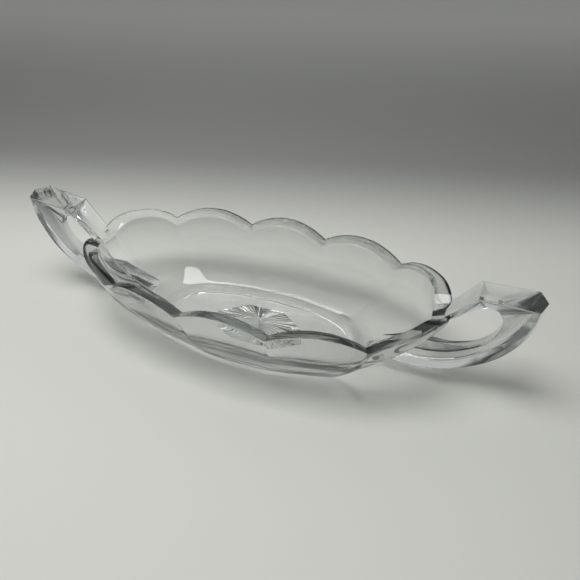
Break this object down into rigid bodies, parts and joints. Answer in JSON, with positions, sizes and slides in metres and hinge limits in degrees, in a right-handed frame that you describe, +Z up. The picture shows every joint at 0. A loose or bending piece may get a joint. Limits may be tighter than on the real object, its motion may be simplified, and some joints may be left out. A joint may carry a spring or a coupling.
{
  "type": "glass dish",
  "caption": "Long oval pressed-glass serving dish with a scalloped rim, panelled sides, a rayed star under its flat base and an angular loop handle at each end.",
  "frame": {"origin": "centre of the face that the dish stands on, midway between the two handle tips", "axes": "+X along the length towards the right handle, +Y away from the viewer across the bowl, +Z up out of the bowl"},
  "size_m": [0.2372, 0.0826, 0.0522],
  "materials": {
    "bowl_glass": "clear, fire-polished",
    "base_glass": "clear, as pressed",
    "handle_glass": "clear, fire-polished"
  },
  "bodies": {
    "root": {"bowl": "bowl_glass", "star_base": "base_glass", "right_handle": "handle_glass", "left_handle": "handle_glass"}
  },
  "joints": []
}
